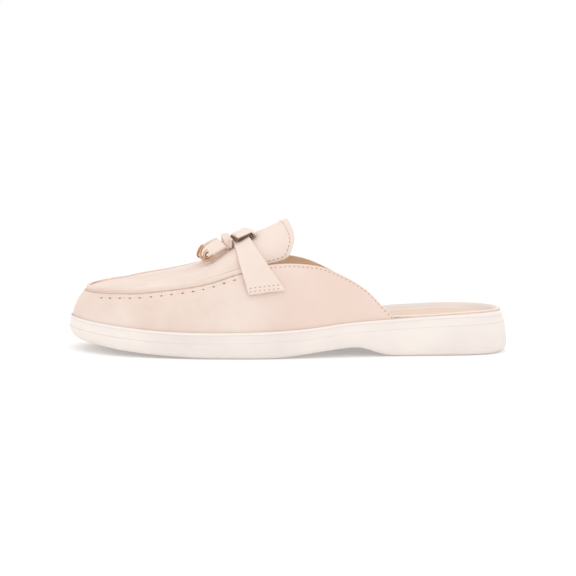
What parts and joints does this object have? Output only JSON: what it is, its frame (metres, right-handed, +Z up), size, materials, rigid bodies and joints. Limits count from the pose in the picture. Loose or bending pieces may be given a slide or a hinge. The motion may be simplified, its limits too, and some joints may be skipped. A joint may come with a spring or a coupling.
{
  "type": "loafer mule",
  "caption": "Backless slip-on loafer mule, left: faux-suede moccasin upper with raised seam, tongue, knotted straps and a low cream sole.",
  "frame": {"origin": "floor level under the middle of the shoe's bounding box", "axes": "-X towards the toe, +X towards the heel, -Y lateral side, +Y medial side, +Z up"},
  "size_m": [0.2566, 0.0915, 0.0762],
  "materials": {
    "cream_rubber": "smooth matt moulded rubber",
    "wrapped_board": "fine matt wrap",
    "tan_sock": "soft matt lining",
    "blush_suede": "matt faux suede with short nap",
    "rose_gold": "polished rose gold plate"
  },
  "bodies": {
    "root": {"outsole": "cream_rubber", "footbed": "wrapped_board", "insole": "tan_sock", "upper": "blush_suede", "tongue": "blush_suede", "strap_lateral": "blush_suede", "strap_medial": "blush_suede", "knot": "blush_suede", "loop": "blush_suede", "tail_lateral": "blush_suede", "tail_medial": "blush_suede", "tip_lateral": "rose_gold", "tip_medial": "rose_gold"}
  },
  "joints": []
}
